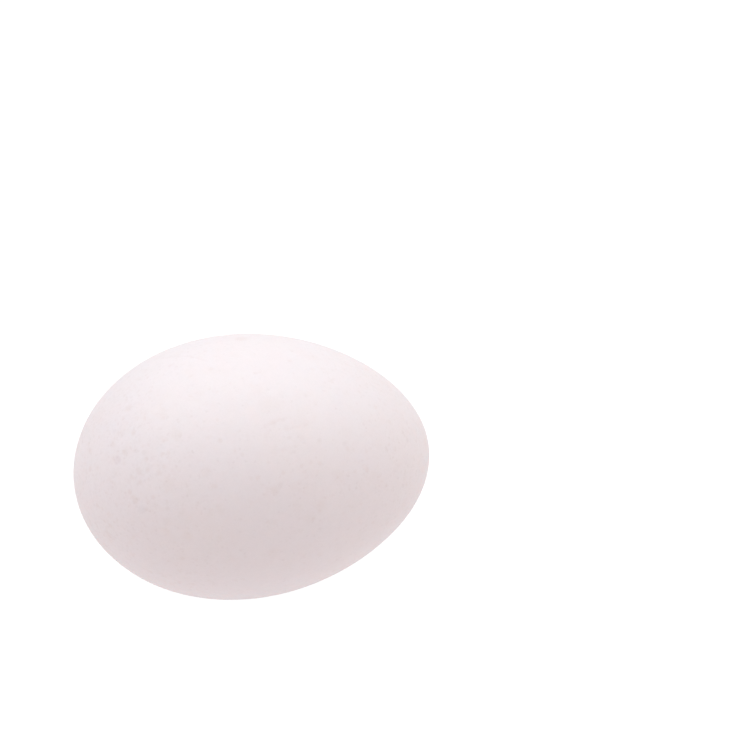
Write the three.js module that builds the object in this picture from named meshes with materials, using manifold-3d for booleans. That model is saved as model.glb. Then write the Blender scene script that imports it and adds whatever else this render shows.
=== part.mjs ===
// A whole chicken egg in its shell, lying on its side as it comes to rest on a table.
//
// Frame: millimetres, +Z up. The origin is the middle of the spot that the egg rests on, straight
// under its centre of mass. The long axis lies over the X axis, with the pointed end towards +X.
//
// Form: a solid of revolution that is a stretched sphere whose girth changes along its length.
// A point (u, v, w) of the unit sphere, u along the long axis, goes to
//   ( halfLength * u, girthScale * swell(u) * v, girthScale * swell(u) * w ).

import * as THREE from 'three';
import { mergeVertices } from 'three/addons/utils/BufferGeometryUtils.js';
import Module from 'manifold-3d';

// Driving dimensions
const LENGTH = 58.0; // from pole to pole
const BREADTH = 42.6; // across the widest girth
const POINTEDNESS = 0.081; // how much the girth shifts from the pointed half to the blunt half
const TAPER = 0.027; // how much both ends draw in against those of an ellipsoid
const REST_SPOT_WIDTH = 7.0; // of the flat spot, across the egg
const FACET_DETAIL = 20; // each of the twenty starting faces is split into (detail + 1) squared

const SHELL_COLOUR = 0xf0e5e5; // white with a faint pink cast
const SHELL_ROUGHNESS = 0.6;

// Working accuracy
const MIDDLE_RANGE = [-0.5, 0.5]; // of u, which holds both the widest girth and the resting place
const HALVINGS = 60; // of a range, to close in on a zero
const SLICES = 2000; // that the centre of mass is summed over
const MERGE_DISTANCE = 1e-5; // between the corners that neighbouring facets share

const halfLength = LENGTH / 2;

// The swell of the girth at u, from -1 at the blunt pole to 1 at the pointed pole, and its slope.
function swell(u) {
  return 1 - POINTEDNESS * u - TAPER * u * u;
}

function swellSlope(u) {
  return -POINTEDNESS - 2 * TAPER * u;
}

// Where a rising or falling function of u crosses zero, by halving the range that holds the zero.
function zeroOf(f, [low, high] = MIDDLE_RANGE) {
  const rising = f(high) > f(low);
  for (let step = 0; step < HALVINGS; step++) {
    const middle = (low + high) / 2;
    if (f(middle) > 0 === rising) high = middle;
    else low = middle;
  }
  return (low + high) / 2;
}

// The girth is widest where the radius stops growing, a little towards the blunt end.
function girthScaleFor(breadth) {
  const widest = zeroOf((u) => (1 - u * u) * swellSlope(u) - u * swell(u));
  return breadth / 2 / (Math.sqrt(1 - widest * widest) * swell(widest));
}

const girthScale = girthScaleFor(BREADTH);

// Radius of the egg at u, and its slope along the long axis.
function radius(u) {
  return girthScale * Math.sqrt(1 - u * u) * swell(u);
}

function radiusSlope(u) {
  const c = Math.sqrt(1 - u * u);
  return (girthScale * (c * swellSlope(u) - (u / c) * swell(u))) / halfLength;
}

// Centre of mass along the long axis, from mid-length, summed over thin slices of even material.
function centreOfMass() {
  let volume = 0;
  let moment = 0;
  for (let i = 0; i < SLICES; i++) {
    const u = -1 + (2 * (i + 0.5)) / SLICES;
    const area = radius(u) ** 2;
    volume += area;
    moment += area * halfLength * u;
  }
  return moment / volume;
}

// The egg rests where the line square to its surface runs through the centre of mass.
function restingPlace() {
  const centre = centreOfMass();
  const u = zeroOf((v) => halfLength * v + radius(v) * radiusSlope(v) - centre);
  return { u, tilt: Math.atan(-radiusSlope(u)) };
}

// The form before the rest spot is cut: its long axis on X and its middle at the origin.
function eggForm() {
  const form = new THREE.IcosahedronGeometry(1, FACET_DETAIL);
  const points = form.getAttribute('position');
  for (let i = 0; i < points.count; i++) {
    const u = points.getX(i);
    const girth = girthScale * swell(u);
    points.setXYZ(i, halfLength * u, girth * points.getY(i), girth * points.getZ(i));
  }
  return form;
}

// Position and turn of the egg on the table: the tangent at the resting place becomes level, and
// the egg sinks below the table top by the depth of the rest spot.
function layDown(egg) {
  const { u, tilt } = restingPlace();
  const curve = radius(u) / Math.cos(tilt); // radius of curvature across the egg
  const spotDepth = curve - Math.sqrt(curve ** 2 - (REST_SPOT_WIDTH / 2) ** 2);
  const touch = new THREE.Vector3(halfLength * u, 0, -radius(u));
  egg.rotation.y = tilt;
  egg.position.copy(touch.applyEuler(egg.rotation)).negate();
  egg.position.z -= spotDepth;
  egg.updateMatrix();
}

const wasm = await Module();
wasm.setup();

// A closed geometry as a solid, and a solid's mesh back as a geometry.
function toSolid(geometry) {
  geometry.deleteAttribute('normal');
  geometry.deleteAttribute('uv');
  const merged = mergeVertices(geometry, MERGE_DISTANCE);
  return new wasm.Manifold(
    new wasm.Mesh({
      numProp: 3,
      vertProperties: merged.getAttribute('position').array,
      triVerts: new Uint32Array(merged.index.array),
    }),
  );
}

function toGeometry(solid) {
  const { vertProperties, triVerts } = solid.getMesh();
  const geometry = new THREE.BufferGeometry();
  geometry.setAttribute('position', new THREE.BufferAttribute(vertProperties, 3));
  geometry.setIndex(new THREE.BufferAttribute(triVerts, 1));
  geometry.computeVertexNormals();
  return geometry;
}

// Everything below the table top, as a slab seen from the egg's own frame.
function tableTop(egg) {
  const slab = new THREE.BoxGeometry(LENGTH, LENGTH, LENGTH);
  slab.translate(0, 0, -LENGTH / 2);
  return slab.applyMatrix4(egg.matrix.clone().invert());
}

function shellMaterial() {
  return new THREE.MeshStandardMaterial({
    color: SHELL_COLOUR,
    roughness: SHELL_ROUGHNESS,
    metalness: 0,
  });
}

function wholeEgg() {
  const egg = new THREE.Mesh(new THREE.BufferGeometry(), shellMaterial());
  egg.name = 'egg';
  layDown(egg);
  egg.geometry = toGeometry(toSolid(eggForm()).subtract(toSolid(tableTop(egg))));
  return egg;
}

const part = new THREE.Group();
part.add(wholeEgg());

export default part;
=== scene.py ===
# A whole chicken egg in its shell, lying on its side on a pale floor.
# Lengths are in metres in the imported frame: +Z up, +X towards the pointed end, origin at the rest spot.
import math

import bpy
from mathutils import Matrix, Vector


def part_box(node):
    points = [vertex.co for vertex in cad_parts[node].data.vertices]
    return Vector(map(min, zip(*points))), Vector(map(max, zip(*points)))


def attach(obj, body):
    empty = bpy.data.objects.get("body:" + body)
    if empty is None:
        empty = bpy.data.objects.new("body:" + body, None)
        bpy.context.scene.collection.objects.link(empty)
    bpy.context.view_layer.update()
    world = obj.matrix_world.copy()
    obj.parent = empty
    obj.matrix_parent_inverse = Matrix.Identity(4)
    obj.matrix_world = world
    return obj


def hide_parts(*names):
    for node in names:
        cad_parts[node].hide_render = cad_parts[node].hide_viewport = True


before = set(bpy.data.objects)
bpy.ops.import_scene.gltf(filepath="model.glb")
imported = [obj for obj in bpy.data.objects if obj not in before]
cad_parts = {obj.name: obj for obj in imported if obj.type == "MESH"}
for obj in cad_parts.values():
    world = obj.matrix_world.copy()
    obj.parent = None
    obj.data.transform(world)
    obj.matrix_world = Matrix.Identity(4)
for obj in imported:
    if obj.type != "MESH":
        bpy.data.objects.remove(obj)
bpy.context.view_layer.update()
print("frame loaded:", sorted(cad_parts))

mm = 0.001  # one millimetre in metres


# Node trees as Python. A Wire is one output socket, and the usual operators on it add Math nodes.

class Wire:
    def __init__(self, sketch, socket):
        self.sketch = sketch
        self.socket = socket

    def math(self, operation, *others):
        return self.sketch.value(operation, self, *others)

    def __add__(self, other):
        return self.math("ADD", other)

    def __radd__(self, other):
        return self.math("ADD", other)

    def __sub__(self, other):
        return self.math("SUBTRACT", other)

    def __rsub__(self, other):
        return self.sketch.value("SUBTRACT", other, self)

    def __mul__(self, other):
        return self.math("MULTIPLY", other)

    def __rmul__(self, other):
        return self.math("MULTIPLY", other)

    def __truediv__(self, other):
        return self.math("DIVIDE", other)

    def __rtruediv__(self, other):
        return self.sketch.value("DIVIDE", other, self)

    def __pow__(self, other):
        return self.math("POWER", other)

    def __lt__(self, other):
        return self.math("LESS_THAN", other)


class Sketch:
    def __init__(self, nodeTree):
        self.nodeTree = nodeTree

    # Any node, from its type, its settings and the values or wires of its sockets.
    def add(self, kind, settings, sockets, output=0):
        made = self.nodeTree.nodes.new(kind)
        for name, value in settings.items():
            setattr(made, name, value)
        for name, value in sockets.items():
            if isinstance(value, Wire):
                self.nodeTree.links.new(value.socket, made.inputs[name])
            else:
                made.inputs[name].default_value = value
        return None if output is None else Wire(self, made.outputs[output])

    # Another output of the node that a wire comes from.
    def also(self, wire, output):
        return Wire(self, wire.socket.node.outputs[output])

    # A Math node, and a Vector Math node.
    def value(self, operation, *values):
        return self.add("ShaderNodeMath", {"operation": operation}, dict(enumerate(values)))

    def vector(self, operation, *values, output=0):
        settings = {"operation": operation}
        return self.add("ShaderNodeVectorMath", settings, dict(enumerate(values)), output)

    # A vector times one number.
    def scaled(self, vector, factor):
        sockets = {"Vector": vector, "Scale": factor}
        return self.add("ShaderNodeVectorMath", {"operation": "SCALE"}, sockets)

    def split(self, vector):
        parts = self.add("ShaderNodeSeparateXYZ", {}, {0: vector})
        return parts, self.also(parts, 1), self.also(parts, 2)

    def joined(self, x, y, z):
        return self.add("ShaderNodeCombineXYZ", {}, {0: x, 1: y, 2: z})

    # From 0 at low to 1 at high, eased at both ends. Low may be the larger of the two.
    def eased(self, wire, low, high):
        return self.add(
            "ShaderNodeMapRange",
            {"interpolation_type": "SMOOTHSTEP"},
            {"Value": wire, "From Min": low, "From Max": high},
        )

    # Smooth noise between 0 and 1, with blobs of about the given size.
    def noise(self, place, size, detail=0.0, roughness=0.5, seed=0.0):
        return self.add(
            "ShaderNodeTexNoise",
            {"noise_dimensions": "4D"},
            {"Vector": place, "W": seed, "Scale": 1 / size, "Detail": detail, "Roughness": roughness},
        )

    # The same noise in three channels.
    def colourNoise(self, place, size, detail=0.0, seed=0.0):
        return self.also(self.noise(place, size, detail, seed=seed), "Color")

    # Two colours mixed by a factor.
    def tinted(self, factor, base, other, way="MIX"):
        return self.add(
            "ShaderNodeMix",
            {"data_type": "RGBA", "blend_type": way},
            {0: factor, 6: base, 7: other},
            output=2,
        )


# The form of the egg. A point (u, v, w) of the unit sphere, with u along the egg, goes to
# (halfLength * u, girth * swell(u) * v, girth * swell(u) * w), and the egg is then laid down.

eggForm = {
    "lengthToBreadth": 58.0 / 42.6,
    "pointedness": 0.081,  # girth moved from the pointed half to the blunt half
    "taper": 0.027,  # how much both ends draw in
    "restSpotWidth": 7.0 * mm,  # of the flat spot, across the egg
    "pointsAlongEdge": 129,  # of each side of the cube that the sphere is made from
    "rimRounding": 0.1 * mm,  # of the rim of the flat spot
    "swellSize": 13.0 * mm,  # low unevenness of a real shell
    "swellHeight": 0.05 * mm,
    "swellDetail": 1.0,
    "peelSize": 1.3 * mm,  # fine orange peel
    "peelHeight": 0.004 * mm,
    "peelDetail": 2.0,
    "seed": 7.0,
}


def swell(u):
    return 1 - eggForm["pointedness"] * u - eggForm["taper"] * u * u


def swellSlope(u):
    return -eggForm["pointedness"] - 2 * eggForm["taper"] * u


# The radius at u, as a share of the girth.
def fullness(u):
    return math.sqrt(1 - u * u) * swell(u)


# Where a function crosses zero between two places, by halving the interval.
def zeroOf(function, low, high, halvings=60):
    rising = function(high) > function(low)
    for _ in range(halvings):
        middle = (low + high) / 2
        if (function(middle) > 0) == rising:
            high = middle
        else:
            low = middle
    return (low + high) / 2


# Half length, girth, and how the egg lies: its tilt and the place of its middle.
def measureEgg(breadth):
    middleHalf = (-0.5, 0.5)  # the widest place and the resting place both lie in here
    halfLength = breadth * eggForm["lengthToBreadth"] / 2
    widest = zeroOf(lambda u: -u * swell(u) + (1 - u * u) * swellSlope(u), *middleHalf)
    girth = breadth / 2 / fullness(widest)

    def radius(u):
        return girth * fullness(u)

    def radiusSlope(u):
        c = math.sqrt(1 - u * u)
        return girth * (c * swellSlope(u) - u / c * swell(u)) / halfLength

    slices = 2000  # that the centre of mass is summed over
    volume = moment = 0.0
    for i in range(slices):
        u = -1 + (2 * i + 1) / slices
        volume += radius(u) ** 2
        moment += radius(u) ** 2 * halfLength * u
    centreOfMass = moment / volume
    touch = zeroOf(lambda u: halfLength * u + radius(u) * radiusSlope(u) - centreOfMass, *middleHalf)
    tilt = math.atan(-radiusSlope(touch))
    curve = radius(touch) / math.cos(tilt)  # radius of curvature across the egg
    spotDepth = curve - math.sqrt(curve ** 2 - (eggForm["restSpotWidth"] / 2) ** 2)
    x = halfLength * touch * math.cos(tilt) - radius(touch) * math.sin(tilt)
    z = -halfLength * touch * math.sin(tilt) - radius(touch) * math.cos(tilt)
    return {
        "halfLength": halfLength,
        "girth": girth,
        "tilt": tilt,
        "middle": Vector((-x, 0, -z - spotDepth)),
    }


low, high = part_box("egg")
egg = measureEgg(high.y - low.y)
print("egg measured: tilt %.2f degrees" % math.degrees(egg["tilt"]))


# The shell's mesh, by Geometry Nodes: a cube swollen to a sphere, drawn to the egg's form, made uneven,
# laid down and flattened where it rests.

def shellTree():
    tree = bpy.data.node_groups.new("shellForm", "GeometryNodeTree")
    sketch = Sketch(tree)
    inputs = {
        "Half Length": egg["halfLength"],
        "Girth": egg["girth"],
        "Pointedness": eggForm["pointedness"],
        "Taper": eggForm["taper"],
        "Tilt": egg["tilt"],
        "Middle X": egg["middle"].x,
        "Middle Z": egg["middle"].z,
        "Rim Rounding": eggForm["rimRounding"],
        "Swell Size": eggForm["swellSize"],
        "Swell Height": eggForm["swellHeight"],
        "Swell Detail": eggForm["swellDetail"],
        "Peel Size": eggForm["peelSize"],
        "Peel Height": eggForm["peelHeight"],
        "Peel Detail": eggForm["peelDetail"],
        "Seed": eggForm["seed"],
    }
    for name in inputs:
        tree.interface.new_socket(name, in_out="INPUT", socket_type="NodeSocketFloat")
    tree.interface.new_socket("Points Along Edge", in_out="INPUT", socket_type="NodeSocketInt")
    tree.interface.new_socket("Shell", in_out="INPUT", socket_type="NodeSocketMaterial")
    tree.interface.new_socket("Geometry", in_out="OUTPUT", socket_type="NodeSocketGeometry")
    group = tree.nodes.new("NodeGroupInput")
    given = {socket.name: Wire(sketch, socket) for socket in group.outputs}

    count = given["Points Along Edge"]
    cube = sketch.add(
        "GeometryNodeMeshCube",
        {},
        {"Size": (2, 2, 2), "Vertices X": count, "Vertices Y": count, "Vertices Z": count},
    )

    # Equal angles instead of equal steps, so that the faces are alike all over the sphere.
    def spread(along):
        return (along * (math.pi / 4)).math("TANGENT")

    onCube = sketch.add("GeometryNodeInputPosition", {}, {})
    onSphere = sketch.vector("NORMALIZE", sketch.joined(*(spread(p) for p in sketch.split(onCube))))
    u, v, w = sketch.split(onSphere)
    girth = given["Girth"] * (1 - given["Pointedness"] * u - given["Taper"] * u * u)
    formed = sketch.add(
        "GeometryNodeSetPosition",
        {},
        {"Geometry": cube, "Position": sketch.joined(given["Half Length"] * u, girth * v, girth * w)},
    )

    place = sketch.add("GeometryNodeInputPosition", {}, {})
    outwards = sketch.add("GeometryNodeInputNormal", {}, {})
    height = 0.0
    for name in ("Swell", "Peel"):
        detail = given[name + " Detail"]
        bumps = sketch.noise(place, given[name + " Size"], detail, seed=given["Seed"])
        height = height + (bumps * 2 - 1) * given[name + " Height"]
    uneven = sketch.add(
        "GeometryNodeSetPosition",
        {},
        {"Geometry": formed, "Offset": sketch.scaled(outwards, height)},
    )

    x, y, z = sketch.split(sketch.add("GeometryNodeInputPosition", {}, {}))
    cosine = given["Tilt"].math("COSINE")
    sine = given["Tilt"].math("SINE")
    laidX = x * cosine + z * sine + given["Middle X"]
    laidZ = z * cosine - x * sine + given["Middle Z"]
    flattened = laidZ.math("SMOOTH_MAX", 0.0, given["Rim Rounding"])
    laid = sketch.add(
        "GeometryNodeSetPosition",
        {},
        {"Geometry": uneven, "Position": sketch.joined(laidX, y, flattened)},
    )
    smooth = sketch.add("GeometryNodeSetShadeSmooth", {}, {"Geometry": laid, "Shade Smooth": True})
    realized = sketch.add("GeometryNodeRealizeInstances", {}, {"Geometry": smooth})
    painted = sketch.add(
        "GeometryNodeSetMaterial",
        {},
        {"Geometry": realized, "Material": given["Shell"]},
    )
    output = tree.nodes.new("NodeGroupOutput")
    tree.links.new(painted.socket, output.inputs[0])
    return tree, inputs


def makeShell(material):
    tree, inputs = shellTree()
    inputs = {**inputs, "Points Along Edge": eggForm["pointsAlongEdge"], "Shell": material}
    grower = bpy.data.objects.new("grower", bpy.data.meshes.new("grower"))
    bpy.context.scene.collection.objects.link(grower)
    modifier = grower.modifiers.new("form", "NODES")
    modifier.node_group = tree
    for socket in tree.interface.items_tree:
        if socket.in_out == "INPUT":
            modifier[socket.identifier] = inputs[socket.name]
    evaluated = grower.evaluated_get(bpy.context.evaluated_depsgraph_get())
    mesh = bpy.data.meshes.new_from_object(evaluated)
    mesh.name = "eggShell"
    mesh.materials.pop(index=0)  # the empty one of the cube that it grew from
    bpy.data.objects.remove(grower)
    shell = bpy.data.objects.new("eggShell", mesh)
    bpy.context.scene.collection.objects.link(shell)
    return shell


# The finish of the shell. Sizes are in millimetres, in the egg's own frame: its long axis on X and its
# middle at the origin. Tones and stains are what the colour is multiplied by.

shellFinish = {
    "colour": (0.87, 0.785, 0.79, 1),
    "warmTone": (1.003, 1.0, 0.995, 1),
    "coolTone": (0.997, 1.0, 1.005, 1),
    "toneSize": 12.0,
    "toneLevels": (0.3, 0.7),  # of a noise, from all warm to all cool
    "roughness": 0.62,
    "roughnessChange": 0.12,
    "roughnessSize": 5.0,
    "subsurface": 0.2,
    "subsurfaceRadius": (1.0, 0.6, 0.5),  # how far red, green and blue light goes in
    "raggedSize": 0.45,  # of the wavering in the outlines of speckles and marks
    "seed": 3.0,  # of the noises, and some count on from it
}

# Light and dark in the colour, from broad to fine. depth is the share that it darkens or lightens by.
mottles = {
    "clouds": {"size": 3.0, "depth": 0.011},
    "mottle": {"size": 0.9, "depth": 0.013},
    "grain": {"size": 0.28, "depth": 0.022},
}

# Relief too fine for the mesh.
fineRelief = {
    "peelSize": 0.6,
    "peelHeight": 0.0010,
    "grainSize": 0.11,
    "grainHeight": 0.0008,
    "poreSpacing": 0.8,
    "poreWidth": 0.12,
    "poreFloor": 0.3,  # the share of the width that is at full depth
    "poreDepth": 0.006,
}

# Speckles by size. Each lies in a cell of a Voronoi pattern. across is how wide the smallest and the
# largest are. chance is the share of the cells that hold one, at the pointed end and at the blunt end,
# and crowdChance is what a crowd adds to it.
speckleKinds = {
    "pepper": {
        "cell": 0.65,
        "across": (0.34, 0.5),
        "chance": (0.05, 0.8),
        "crowdChance": 0.6,
        "stain": (0.955, 0.942, 0.936, 1),
    },
    "dust": {
        "cell": 0.7,
        "across": (0.32, 0.5),
        "chance": (0.35, 0.7),
        "crowdChance": 0.4,
        "stain": (0.957, 0.946, 0.942, 1),
    },
    "freckles": {
        "cell": 1.05,
        "across": (0.45, 0.9),
        "chance": (0.2, 0.7),
        "crowdChance": 0.4,
        "stain": (0.972, 0.954, 0.944, 1),
    },
    "blots": {
        "cell": 2.6,
        "across": (1.2, 2.2),
        "chance": (0.6, 0.6),
        "crowdChance": 0.0,
        "stain": (0.988, 0.976, 0.966, 1),
    },
}

# How all speckles lie and look.
speckleRule = {
    "bluntness": (-0.3, -0.95),  # how far along the blunt end's chance starts and is full
    "groupSize": 5.0,
    "groupLevels": (0.35, 0.6),  # of a noise, from the fewest speckles to the most
    "fewest": 0.35,  # share of the chance that is left between the groups
    "crowdSoft": 0.8,  # share of its width that a crowd fades out over
    "ragged": 0.5,  # how far the outlines stray
    "edge": (1.6, 0.2),  # where a speckle ends and where it is full, as shares of its radius
    "palest": 0.25,  # share of the stain that every speckle has
    "seedStep": 11,  # between one kind and the next
}

# Places in view with more speckles than the rule gives: how far along, the angle round, and how wide,
# as for the marks below.
speckleCrowds = [(-23, 42, 18), (-27, 55, 20), (-26, 10, 18), (18, 95, 14), (25, 30, 24)]

# Marks on the side in view. A spot is how far along the egg from its middle, towards
# the pointed end, the angle round it in degrees, from its front over its top, and how wide it is.
# A stroke has two such places, and its width. ragged is how far the outlines stray, and soft is the
# share of its width that a mark fades out over.
handMarks = {
    "brown": {
        "stain": (0.965, 0.942, 0.930, 1),
        "ragged": 0.35,
        "soft": 0.65,
        "spots": [
            (-27.3, 52, 0.8), (-27, 73, 0.8), (-26.8, 11, 0.7), (-22.7, 54, 0.8), (-22.1, 25, 0.7),
            (-21.8, 23.5, 1.0), (-21, 81.5, 1.1), (-21, 64, 0.8), (-9, 49, 0.7), (-1.5, 108, 2.0),
        ],
        "strokes": [],
    },
    "tan": {
        "stain": (0.975, 0.957, 0.948, 1),
        "ragged": 0.5,
        "soft": 0.65,
        "spots": [
            (-25.2, -3, 0.8), (-24, 62, 0.9), (-22.5, 28, 0.7), (-22, 37, 0.7), (-21, 40, 1.0),
            (-21, 34, 0.8), (-19.8, 46, 0.7), (-19.8, 40, 0.7), (-18.2, 38, 0.8), (-17.5, 47, 0.7),
            (-17.5, 41, 0.7), (-16.6, 47, 0.7), (-13.7, 97, 0.7), (-10.5, 30, 0.8), (-4, 32, 0.7),
            (0, 33, 0.7), (3, 35, 0.6), (6, 35, 0.7), (14, 29, 0.6),
        ],
        "strokes": [],
    },
    "dark": {
        "stain": (0.966, 0.957, 0.953, 1),
        "ragged": 0.4,
        "soft": 0.65,
        "spots": [
            (-23.5, 71, 0.7), (-22.5, 66, 0.7), (-21, 52, 0.7), (-20, 50, 0.8), (-14.7, 54, 0.6),
            (-6.8, 0, 0.6), (-6, 42, 0.6), (-0.6, 28, 0.8), (1, 55, 0.7), (1.5, 47, 0.6), (2, 41, 0.6),
            (5.4, 66, 0.6), (6.3, 45, 0.7), (10.4, 75, 0.6), (10.5, 43, 0.7), (18, 38, 0.6),
            (21, 13, 0.6), (21.7, 50, 0.6), (22.5, 44, 0.7), (24.5, 44, 0.6),
        ],
        "strokes": [(10, 75, 10.8, 76.5, 0.5)],
    },
    "blots": {
        "stain": (0.984, 0.973, 0.966, 1),
        "ragged": 0.7,
        "soft": 0.8,
        "spots": [
            (-17.6, 13, 1.3), (-16.7, 67, 1.4), (-11.5, 36, 1.5), (-1.4, 26, 1.3), (-0.7, 62, 2.6),
            (5.7, 17, 1.6), (8.8, 29, 1.6),
        ],
        "strokes": [],
    },
    "faint": {
        "stain": (0.985, 0.976, 0.975, 1),
        "ragged": 0.5,
        "soft": 0.65,
        "spots": [],
        "strokes": [
            (-14, 108, -11, 100, 0.5), (-11, 100, -8.3, 91, 0.4), (-2, 53, 0.5, 55, 0.5),
            (-1.8, 50, -2.2, 47.5, 0.7), (2, 51, 3, 51.5, 0.4),
        ],
    },
    "grey": {
        "stain": (0.967, 0.961, 0.971, 1),
        "ragged": 0.05,
        "soft": 0.2,
        "spots": [(-23.7, 50, 1.45)],
        "strokes": [],
    },
    "paleGrey": {
        "stain": (0.977, 0.973, 0.979, 1),
        "ragged": 0.05,
        "soft": 0.3,
        "spots": [(-21, 18, 1.35)],
        "strokes": [],
    },
}


# A point of the shell from how far along the egg it is and the angle round it.
def onShell(along, around):
    radius = egg["girth"] / mm * fullness(along * mm / egg["halfLength"])
    angle = math.radians(around)
    return Vector((along, -radius * math.cos(angle), radius * math.sin(angle)))


# One kind of speckle, from the chance that a cell holds one.
def speckleMask(sketch, place, kind, chance, seed):
    shifted = sketch.vector("ADD", place, (seed, 2 * seed, -seed))  # so that the kinds lie apart
    distance = sketch.add(
        "ShaderNodeTexVoronoi",
        {"voronoi_dimensions": "3D", "feature": "F1"},
        {"Vector": shifted, "Scale": 1 / kind["cell"]},
    )
    drawn = sketch.add("ShaderNodeSeparateColor", {}, {0: sketch.also(distance, "Color")})
    smallest, largest = (across / 2 / kind["cell"] for across in kind["across"])
    reach = smallest + (largest - smallest) * sketch.also(drawn, 1)
    palest = speckleRule["palest"]
    depth = palest + (1 - palest) * sketch.also(drawn, 2) ** 2  # most are faint
    return sketch.eased(distance / reach, *speckleRule["edge"]) * (drawn < chance) * depth


# Where something fades out: half of it is left at half of its width.
def faded(sketch, away, across, soft):
    return sketch.eased(away, (1 + soft) / 2 * across, (1 - soft) / 2 * across)


# Soft-edged spots round points of the shell.
def spotMask(sketch, place, spots, soft):
    mask = 0.0
    for along, around, across in spots:
        away = sketch.vector("DISTANCE", place, onShell(along, around), output="Value")
        mask = faded(sketch, away, across, soft).math("MAXIMUM", mask)
    return mask


# Soft-edged strokes from one point of the shell to another.
def strokeMask(sketch, place, strokes, soft):
    mask = 0.0
    for fromAlong, fromAround, toAlong, toAround, across in strokes:
        start = onShell(fromAlong, fromAround)
        span = onShell(toAlong, toAround) - start
        offset = sketch.vector("SUBTRACT", place, start)
        share = sketch.vector("DOT_PRODUCT", offset, span / span.length_squared, output="Value")
        nearest = sketch.scaled(span, share.math("MAXIMUM", 0.0).math("MINIMUM", 1.0))
        away = sketch.vector("DISTANCE", offset, nearest, output="Value")
        mask = faded(sketch, away, across, soft).math("MAXIMUM", mask)
    return mask


# The shell's own colour, a little warmer here and cooler there, with its mottling.
def mottledColour(sketch, place):
    seed = shellFinish["seed"]
    tone = sketch.noise(place, shellFinish["toneSize"], detail=2.0, seed=seed)
    coolness = sketch.eased(tone, *shellFinish["toneLevels"])
    tint = sketch.tinted(coolness, shellFinish["warmTone"], shellFinish["coolTone"])
    colour = sketch.tinted(1.0, shellFinish["colour"], tint, "MULTIPLY")
    for number, mottle in enumerate(mottles.values()):
        shade = sketch.noise(place, mottle["size"], detail=1.0, seed=seed + number)
        colour = sketch.scaled(colour, 1 + (shade - 0.5) * (2 * mottle["depth"]))
    return colour


# The same with its speckles and marks. along runs from -1 at the blunt pole to 1 at the pointed pole.
def shellColour(sketch, place, along):
    seed = shellFinish["seed"]
    colour = mottledColour(sketch, place)
    wavering = sketch.colourNoise(place, shellFinish["raggedSize"], detail=1.0, seed=seed)
    centred = sketch.vector("SUBTRACT", wavering, (0.5, 0.5, 0.5))

    def strayed(reach):
        return sketch.vector("ADD", place, sketch.scaled(centred, reach))

    bluntness = sketch.eased(along, *speckleRule["bluntness"])
    groups = sketch.noise(place, speckleRule["groupSize"], detail=1.0, seed=seed + 5)
    grouped = speckleRule["fewest"] + sketch.eased(groups, *speckleRule["groupLevels"])
    crowd = spotMask(sketch, place, speckleCrowds, speckleRule["crowdSoft"])
    ragged = strayed(speckleRule["ragged"])
    for number, kind in enumerate(speckleKinds.values()):
        rare, common = kind["chance"]
        chance = (rare + (common - rare) * bluntness) * grouped + crowd * kind["crowdChance"]
        mask = speckleMask(sketch, ragged, kind, chance, seed + speckleRule["seedStep"] * number)
        colour = sketch.tinted(mask, colour, kind["stain"], "MULTIPLY")
    for marks in handMarks.values():
        ragged = strayed(marks["ragged"])
        spots = spotMask(sketch, ragged, marks["spots"], marks["soft"])
        strokes = strokeMask(sketch, ragged, marks["strokes"], marks["soft"])
        mask = sketch.value("MAXIMUM", spots, strokes)
        colour = sketch.tinted(mask, colour, marks["stain"], "MULTIPLY")
    return colour


# The height of the fine relief, in millimetres.
def shellRelief(sketch, place):
    seed = shellFinish["seed"]
    peel = sketch.noise(place, fineRelief["peelSize"], detail=1.0, seed=seed)
    grain = sketch.noise(place, fineRelief["grainSize"], detail=2.0, roughness=0.6, seed=seed)
    away = sketch.add(
        "ShaderNodeTexVoronoi",
        {"voronoi_dimensions": "3D", "feature": "F1"},
        {"Vector": place, "Scale": 1 / fineRelief["poreSpacing"]},
    )
    poreReach = fineRelief["poreWidth"] / 2 / fineRelief["poreSpacing"]
    pore = sketch.eased(away, poreReach, fineRelief["poreFloor"] * poreReach)
    bumps = peel * fineRelief["peelHeight"] + grain * fineRelief["grainHeight"]
    return bumps - pore * fineRelief["poreDepth"]


def shellMaterial():
    material = bpy.data.materials.new("speckledShell")
    material.use_nodes = True
    tree = material.node_tree
    tree.nodes.clear()
    sketch = Sketch(tree)
    place = sketch.add(
        "ShaderNodeMapping",
        {"vector_type": "TEXTURE"},
        {
            "Vector": sketch.add("ShaderNodeTexCoord", {}, {}, output="Object"),
            "Location": egg["middle"],
            "Rotation": (0, egg["tilt"], 0),
            "Scale": (mm, mm, mm),
        },
    )
    along = sketch.split(place)[0] / (egg["halfLength"] / mm)
    seed = shellFinish["seed"] + 1
    patches = sketch.noise(place, shellFinish["roughnessSize"], detail=2.0, seed=seed)
    relief = shellRelief(sketch, place)
    surface = sketch.add(
        "ShaderNodeBsdfPrincipled",
        {"subsurface_method": "RANDOM_WALK"},
        {
            "Base Color": shellColour(sketch, place, along),
            "Roughness": shellFinish["roughness"] + (patches - 0.5) * shellFinish["roughnessChange"],
            "Normal": sketch.add("ShaderNodeBump", {}, {"Distance": mm, "Height": relief}),
            "Subsurface Weight": shellFinish["subsurface"],
            "Subsurface Radius": shellFinish["subsurfaceRadius"],
            "Subsurface Scale": mm,
        },
    )
    sketch.add("ShaderNodeOutputMaterial", {}, {"Surface": surface}, output=None)
    return material


# The studio: a pale floor that glows, as a light table does, soft boxes, and even light all round.

camera = {
    "azimuth": -15.27,  # degrees, from straight in front of the egg towards its left
    "elevation": 35.0,
    "distance": 0.4,
    "lens": 102.1,  # mm, on a sensor 36 mm wide
    "nearest": 0.01,  # that it sees
    "aim": Vector((34.26, 48.72, -0.25)) * mm,  # beyond the egg, at the middle of the picture
}

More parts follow.
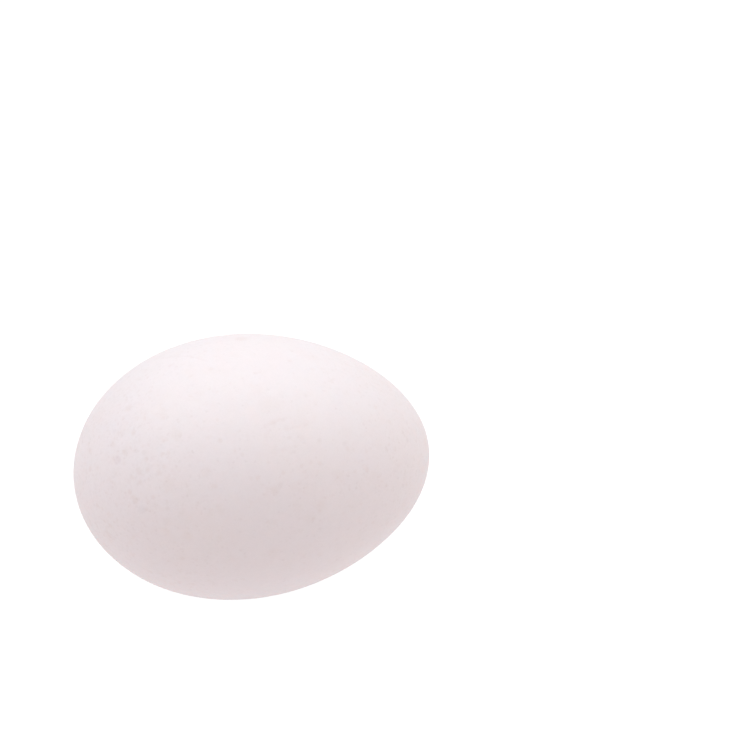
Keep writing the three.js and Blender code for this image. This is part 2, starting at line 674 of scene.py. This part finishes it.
studio = {
    "floorRadius": 6.0,
    "floorSides": 96,
    "floorColour": (0.12, 0.12, 0.12, 1),
    "floorRoughness": 0.9,
    "floorSpecular": 0.1,
    "floorGlow": (0.843, 0.82, 0.828, 1),  # that lights the egg
    "shadedGlow": (0.211, 0.205, 0.207, 1),  # the same near the rest spot, in the egg's own shade
    "shadeReach": (4 * mm, 18 * mm),  # where it starts to fade and where it ends, across the egg
    "shadeStretch": 1.3,  # how much further it reaches along the egg
    "floorWhite": (0.97, 0.97, 0.97, 1),  # that the camera sees, overexposed to a plain white
    "ambient": (0.471, 0.425, 0.42, 1),
    "background": (0.991, 0.991, 0.991, 1),
    "boxDistance": 0.8,
}

# Soft boxes round the egg. The azimuth is counted from the camera's side of it.
softBoxes = {
    "behind": {
        "azimuth": 180,
        "elevation": 67,
        "width": 1.2,
        "power": 0.68,
        "colour": (0.691, 0.907, 1.0),
    },
    "left": {
        "azimuth": -90,
        "elevation": 65,
        "width": 1.0,
        "power": 4.05,
        "colour": (0.855, 0.956, 1.0),
    },
    "right": {
        "azimuth": 110,
        "elevation": 50,
        "width": 1.0,
        "power": 2.9,
        "colour": (0.917, 1.0, 1.0),
    },
}


# The direction from the egg to a place seen at an azimuth and an elevation, both in degrees.
def directionTo(azimuth, elevation):
    a = math.radians(azimuth)
    e = math.radians(elevation)
    return Vector((math.sin(a) * math.cos(e), -math.cos(a) * math.cos(e), math.sin(e)))


def makeFloor():
    sides = studio["floorSides"]
    reach = studio["floorRadius"]
    ring = [2 * math.pi * i / sides for i in range(sides)]
    points = [(reach * math.cos(a), reach * math.sin(a), 0) for a in ring]
    mesh = bpy.data.meshes.new("floor")
    mesh.from_pydata(points, [], [list(range(sides))])
    floor = bpy.data.objects.new("floor", mesh)
    bpy.context.scene.collection.objects.link(floor)
    material = bpy.data.materials.new("paleFloor")
    material.use_nodes = True
    material.node_tree.nodes.clear()
    sketch = Sketch(material.node_tree)
    place = sketch.add("ShaderNodeTexCoord", {}, {}, output="Object")
    squeezed = sketch.vector("DIVIDE", place, (studio["shadeStretch"], 1, 1))
    away = sketch.vector("LENGTH", squeezed, output="Value")
    lit = sketch.eased(away, *studio["shadeReach"])
    glow = sketch.tinted(lit, studio["shadedGlow"], studio["floorGlow"])
    seen = sketch.add("ShaderNodeLightPath", {}, {}, output="Is Camera Ray")
    surface = sketch.add(
        "ShaderNodeBsdfPrincipled",
        {},
        {
            "Base Color": studio["floorColour"],
            "Roughness": studio["floorRoughness"],
            "Specular IOR Level": studio["floorSpecular"],
            "Emission Color": sketch.tinted(seen, glow, studio["floorWhite"]),
            "Emission Strength": 1.0,
        },
    )
    sketch.add("ShaderNodeOutputMaterial", {}, {"Surface": surface}, output=None)
    mesh.materials.append(material)


def makeSoftBoxes():
    for name, box in softBoxes.items():
        light = bpy.data.lights.new(name, "AREA")
        light.shape = "DISK"
        light.size = box["width"]
        light.energy = box["power"]
        light.color = box["colour"]
        lamp = bpy.data.objects.new(name, light)
        towards = directionTo(camera["azimuth"] + box["azimuth"], box["elevation"])
        lamp.location = towards * studio["boxDistance"]
        lamp.rotation_euler = towards.to_track_quat("Z", "Y").to_euler()
        lamp.visible_camera = False
        bpy.context.scene.collection.objects.link(lamp)


# Even light from all round, and plain white past the floor.
def makeWorld():
    world = bpy.data.worlds.new("studio")
    world.use_nodes = True
    tree = world.node_tree
    tree.nodes.clear()
    sketch = Sketch(tree)
    seen = sketch.add("ShaderNodeLightPath", {}, {}, output="Is Camera Ray")
    colour = sketch.tinted(seen, studio["ambient"], studio["background"])
    background = sketch.add("ShaderNodeBackground", {}, {"Color": colour})
    sketch.add("ShaderNodeOutputWorld", {}, {"Surface": background}, output=None)
    bpy.context.scene.world = world


def makeCamera():
    lens = bpy.data.cameras.new("camera")
    lens.lens = camera["lens"]
    lens.clip_start = camera["nearest"]
    eye = bpy.data.objects.new("camera", lens)
    back = directionTo(camera["azimuth"], camera["elevation"])
    eye.location = camera["aim"] + back * camera["distance"]
    eye.rotation_euler = back.to_track_quat("Z", "Y").to_euler()
    bpy.context.scene.collection.objects.link(eye)
    bpy.context.scene.camera = eye


makeCamera()
makeFloor()
makeSoftBoxes()
makeWorld()
bpy.context.scene.view_settings.view_transform = "Standard"
print("studio set up")

shell = makeShell(shellMaterial())
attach(shell, "root")
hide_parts("egg")
print("shell made:", len(shell.data.polygons), "faces")
